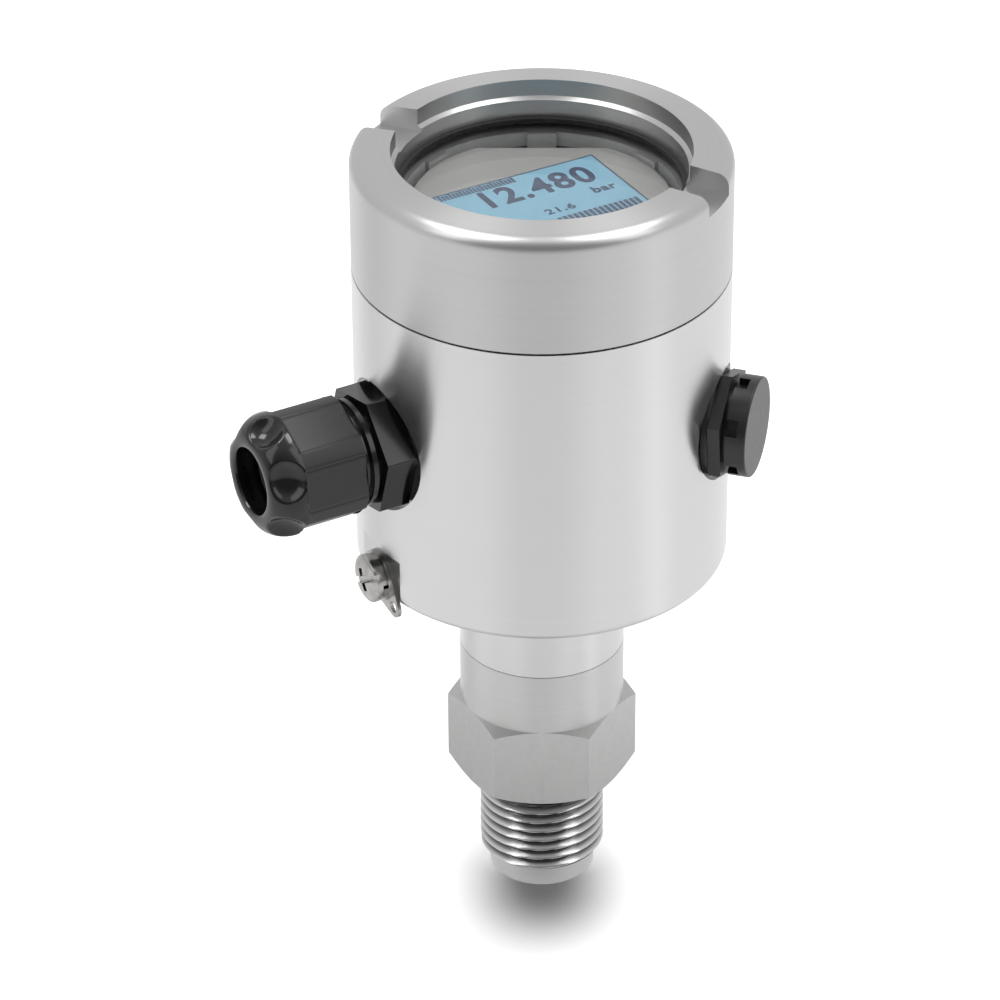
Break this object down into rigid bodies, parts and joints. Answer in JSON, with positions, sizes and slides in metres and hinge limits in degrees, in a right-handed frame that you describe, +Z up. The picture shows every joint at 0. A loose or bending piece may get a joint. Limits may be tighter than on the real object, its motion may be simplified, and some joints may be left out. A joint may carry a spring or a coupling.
{
  "type": "pressure transmitter",
  "caption": "Pressure transmitter: round steel housing with a window cover over a display, cable gland, breather plug and earth screw, on a threaded process connection.",
  "frame": {"origin": "middle of the pressure port's mouth, at the lower end of the process connection", "axes": "+Z up the housing's axis, -X out along the cable gland, the display reads along +X"},
  "size_m": [0.0824, 0.0614, 0.1346],
  "materials": {
    "turned_steel": "satin turned stainless steel",
    "bright_steel": "bright stainless steel",
    "black_gloss": "gloss black polyamide",
    "black_matt": "matt black plastic",
    "seal_rubber": "black seal rubber",
    "membrane": "white porous membrane",
    "window_glass": "clear flat glass",
    "display_shell": "light grey plastic",
    "display_keys": "mid grey keys",
    "display_panel": "pale blue display film",
    "circuit_board": "green circuit board",
    "cell_ceramic": "off-white ceramic",
    "inner_moulding": "dark grey moulding",
    "leads": "grey insulation",
    "brass_posts": "turned brass"
  },
  "bodies": {
    "process": {"process_fitting": "turned_steel", "cell_seal": "seal_rubber", "measuring_cell": "cell_ceramic", "cell_clamp_ring": "bright_steel", "sensor_board": "circuit_board", "sensor_lead": "leads", "neck_seal": "seal_rubber", "swivel_ring": "bright_steel"},
    "housing": {"housing": "turned_steel", "gland_body": "black_gloss", "gland_gasket": "seal_rubber", "gland_locknut": "black_gloss", "vent_seal": "seal_rubber", "vent_body": "black_matt", "vent_membrane": "membrane", "vent_cap": "black_matt", "tag_lug": "bright_steel", "electronics_cup": "inner_moulding", "main_board": "circuit_board", "terminal_block": "inner_moulding", "terminal_screws": "bright_steel", "display_posts": "brass_posts", "display_ribbon": "leads", "display_carrier": "display_shell"},
    "cover_seal": {"cover_seal": "seal_rubber"},
    "cover": {"cover": "turned_steel", "window_gasket": "seal_rubber", "window_glass": "window_glass", "window_retainer": "black_gloss"},
    "display": {"display_back": "display_shell", "display_case": "display_shell", "lcd_panel": "display_panel", "display_board": "circuit_board"},
    "gland_claw": {"gland_claw": "black_matt", "gland_insert": "seal_rubber"},
    "gland_nut": {"gland_nut": "black_gloss"},
    "earth_washers": {"earth_washer": "bright_steel", "spring_washer": "bright_steel"},
    "earth_screw": {"earth_screw": "bright_steel"},
    "key_1": {"display_key_1": "display_keys"},
    "key_2": {"display_key_2": "display_keys"},
    "key_3": {"display_key_3": "display_keys"},
    "key_4": {"display_key_4": "display_keys"}
  },
  "joints": [
    {"name": "housing_swivel", "type": "hinge", "parent": "process", "child": "housing", "pos_m": [0, 0, 0.055], "axis": [0, 0, 1], "range_deg": [-165, 165]},
    {"name": "cover_lift", "type": "slide", "parent": "housing", "child": "cover_seal", "axis": [0, 0, 1], "range_m": [0, 0.0061]},
    {"name": "cover_turn", "type": "hinge", "parent": "cover_seal", "child": "cover", "pos_m": [0, 0, 0.1248], "axis": [0, 0, 1], "range_deg": [0, 1440]},
    {"name": "display_turn", "type": "hinge", "parent": "housing", "child": "display", "pos_m": [0, 0, 0.116], "axis": [0, 0, 1], "range_deg": [-15, 15]},
    {"name": "gland_claw_slide", "type": "slide", "parent": "housing", "child": "gland_claw", "axis": [-1, 0, 0], "range_m": [0, 0.0045]},
    {"name": "gland_nut_turn", "type": "hinge", "parent": "gland_claw", "child": "gland_nut", "pos_m": [-0.045, 0, 0.09], "axis": [-1, 0, 0], "range_deg": [0, 1085]},
    {"name": "earth_washer_slide", "type": "slide", "parent": "housing", "child": "earth_washers", "axis": [-1, 0, 0], "range_m": [0, 0.0028]},
    {"name": "earth_screw_turn", "type": "hinge", "parent": "earth_washers", "child": "earth_screw", "pos_m": [-0.03, 0, 0.0658], "axis": [-1, 0, 0], "range_deg": [0, 1445]},
    {"name": "key_press_1", "type": "slide", "parent": "display", "child": "key_1", "axis": [0, 0, -1], "range_m": [0, 0.0005], "stiffness_N_per_m": 300, "springref_m": -0.0005},
    {"name": "key_press_2", "type": "slide", "parent": "display", "child": "key_2", "axis": [0, 0, -1], "range_m": [0, 0.0005], "stiffness_N_per_m": 300, "springref_m": -0.0005},
    {"name": "key_press_3", "type": "slide", "parent": "display", "child": "key_3", "axis": [0, 0, -1], "range_m": [0, 0.0005], "stiffness_N_per_m": 300, "springref_m": -0.0005},
    {"name": "key_press_4", "type": "slide", "parent": "display", "child": "key_4", "axis": [0, 0, -1], "range_m": [0, 0.0005], "stiffness_N_per_m": 300, "springref_m": -0.0005}
  ],
  "couplings": [
    {"joint": "cover_lift", "follows": "cover_turn", "m_per_rad": 0.00023873},
    {"joint": "gland_nut_turn", "follows": "gland_claw_slide", "rad_per_m": 4188.8},
    {"joint": "earth_screw_turn", "follows": "earth_washer_slide", "rad_per_m": 8976}
  ]
}
